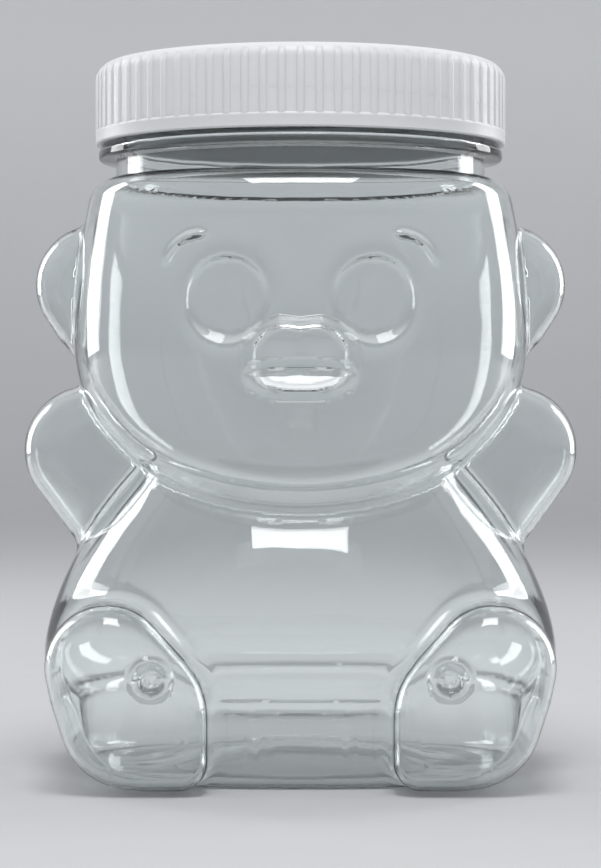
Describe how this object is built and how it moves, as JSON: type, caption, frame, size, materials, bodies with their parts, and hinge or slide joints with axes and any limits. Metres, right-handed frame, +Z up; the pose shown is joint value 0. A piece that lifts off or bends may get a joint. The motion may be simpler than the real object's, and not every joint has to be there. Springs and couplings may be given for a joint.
{
  "type": "honey bear bottle",
  "caption": "Clear blown bear-shaped bottle with ears, arms and feet, a wide mouth, and a ribbed white screw lid with a foam sealing disc.",
  "frame": {"origin": "on the plane that the base and feet stand on, under the middle of the overall width and depth; the axis of the neck and lid is at x 0, y 5.6 mm", "axes": "+Z up, parallel to the axis of the neck and lid, -Y the way the bear faces, +X to the right in the picture"},
  "size_m": [0.1174, 0.1102, 0.1486],
  "materials": {
    "clear_plastic": "clear, glossy",
    "white_plastic": "satin, slightly translucent",
    "foam": "matt foam"
  },
  "bodies": {
    "bottle": {"bottle": "clear_plastic"},
    "liner": {"liner": "foam"},
    "lid": {"lid": "white_plastic"}
  },
  "joints": [
    {"name": "lid_rise", "type": "slide", "parent": "bottle", "child": "liner", "axis": [0, 0, 1], "range_m": [0, 0.0255]},
    {"name": "lid_turn", "type": "hinge", "parent": "liner", "child": "lid", "pos_m": [0, 0.0056, 0.14], "axis": [0, 0, 1], "range_deg": [0, 1800]}
  ],
  "couplings": [
    {"joint": "lid_rise", "follows": "lid_turn", "m_per_rad": 0.00080851}
  ]
}
